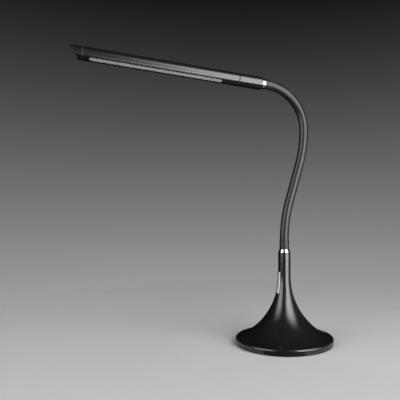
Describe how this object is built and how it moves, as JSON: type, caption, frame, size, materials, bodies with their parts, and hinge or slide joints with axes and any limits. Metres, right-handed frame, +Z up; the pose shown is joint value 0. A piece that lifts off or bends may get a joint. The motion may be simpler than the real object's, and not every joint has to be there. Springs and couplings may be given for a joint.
{
  "type": "gooseneck desk lamp",
  "caption": "Desk lamp with a flared round base, a touch panel on its column, a flexible hose neck and a long round head that turns about its axis.",
  "frame": {"origin": "middle of the foot pad's underside, on the column's axis", "axes": "+Z up along the column, head points to -X, power inlet at +X"},
  "size_m": [0.4213, 0.1626, 0.4677],
  "materials": {
    "foot_rubber": "ribbed soft rubber",
    "plate_steel": "zinc plated",
    "screw_steel": "zinc plated",
    "base_black": "satin black moulding",
    "ballast_iron": "as cast, dark primer",
    "circuit_board": "green solder mask",
    "dark_parts": "moulded",
    "contact_brass": "machined",
    "panel_grey": "satin silver grey",
    "contact_rubber": "conductive rubber",
    "lead_cover": "soft insulation",
    "ring_chrome": "polished",
    "collar_black": "satin black",
    "hose_sleeve": "smooth satin black",
    "hose_steel": "wound strip",
    "head_black": "satin black paint",
    "barrel_black": "satin black moulding",
    "slip_nylon": "natural nylon",
    "bezel_black": "black",
    "diffuser_frost": "frosted white",
    "carrier_aluminium": "extruded",
    "diode_yellow": "phosphor",
    "tip_grey": "satin dark grey"
  },
  "bodies": {
    "base": {"foot_pad": "foot_rubber", "base_plate": "plate_steel", "plate_screws": "screw_steel", "base_shell": "base_black", "ballast_weight": "ballast_iron", "weight_screws": "screw_steel", "control_board": "circuit_board", "board_screws": "screw_steel", "board_parts": "dark_parts", "dc_jack": "dark_parts", "jack_pin": "contact_brass", "touch_panel": "panel_grey", "touch_board": "circuit_board", "touch_contacts": "contact_rubber", "touch_cable": "lead_cover", "neck_ring": "ring_chrome", "neck_nipple": "contact_brass", "neck_washer": "plate_steel", "neck_nut": "contact_brass", "lower_collar": "collar_black", "base_leads": "lead_cover", "neck_core_0": "hose_steel"},
    "neck_link_1": {"neck_core_1": "hose_steel", "neck_sleeve_1": "hose_sleeve", "neck_leads_1": "lead_cover"},
    "neck_link_2": {"neck_core_2": "hose_steel", "neck_sleeve_2": "hose_sleeve", "neck_leads_2": "lead_cover"},
    "neck_link_3": {"neck_core_3": "hose_steel", "neck_sleeve_3": "hose_sleeve", "neck_leads_3": "lead_cover"},
    "neck_link_4": {"neck_core_4": "hose_steel", "neck_sleeve_4": "hose_sleeve", "neck_leads_4": "lead_cover"},
    "neck_link_5": {"neck_core_5": "hose_steel", "neck_sleeve_5": "hose_sleeve", "neck_leads_5": "lead_cover"},
    "head_stem": {"neck_core_6": "hose_steel", "neck_sleeve_6": "hose_sleeve", "neck_leads_6": "lead_cover", "upper_collar": "collar_black", "head_ring": "ring_chrome", "socket_barrel": "barrel_black", "swivel_spindle": "plate_steel", "slip_washer": "slip_nylon", "spring_washer": "plate_steel", "swivel_nut": "plate_steel", "stem_leads": "lead_cover"},
    "head": {"head_tube": "head_black", "head_plug": "slip_nylon", "stop_pin": "plate_steel", "diffuser": "diffuser_frost", "window_bezel": "bezel_black", "led_carrier": "carrier_aluminium", "led_board": "carrier_aluminium", "leds": "diode_yellow", "head_leads": "lead_cover", "tip_cap": "barrel_black", "tip_disc": "tip_grey"}
  },
  "joints": [
    {"name": "neck_bend_1", "type": "hinge", "parent": "base", "child": "neck_link_1", "pos_m": [0.00106, 0, 0.19428], "axis": [0, -1, 0], "range_deg": [-20, 15], "deforming": ["neck_sleeve_1", "neck_leads_1"]},
    {"name": "neck_bend_2", "type": "hinge", "parent": "neck_link_1", "child": "neck_link_2", "pos_m": [0.01039, 0, 0.24079], "axis": [0.9613, 0, -0.2756], "range_deg": [-25, 25], "deforming": ["neck_sleeve_2", "neck_leads_2"]},
    {"name": "neck_bend_3", "type": "hinge", "parent": "neck_link_2", "child": "neck_link_3", "pos_m": [0.02348, 0, 0.28647], "axis": [0, -1, 0], "range_deg": [-25, 16], "deforming": ["neck_sleeve_3", "neck_leads_3"]},
    {"name": "neck_bend_4", "type": "hinge", "parent": "neck_link_3", "child": "neck_link_4", "pos_m": [0.03356, 0, 0.33283], "axis": [0.9942, 0, -0.1072], "range_deg": [-25, 25], "deforming": ["neck_sleeve_4", "neck_leads_4"]},
    {"name": "neck_bend_5", "type": "hinge", "parent": "neck_link_4", "child": "neck_link_5", "pos_m": [0.03057, 0, 0.37983], "axis": [0, -1, 0], "range_deg": [-28, 18], "deforming": ["neck_sleeve_5", "neck_leads_5"]},
    {"name": "neck_bend_6", "type": "hinge", "parent": "neck_link_5", "child": "head_stem", "pos_m": [0.00182, 0, 0.41664], "axis": [0, -1, 0], "range_deg": [-28, 18], "deforming": ["neck_sleeve_6", "neck_leads_6"]},
    {"name": "head_twist", "type": "hinge", "parent": "head_stem", "child": "head", "pos_m": [-0.03433, 0, 0.42875], "axis": [-0.9957, 0, 0.0924], "range_deg": [-122, 58]}
  ]
}
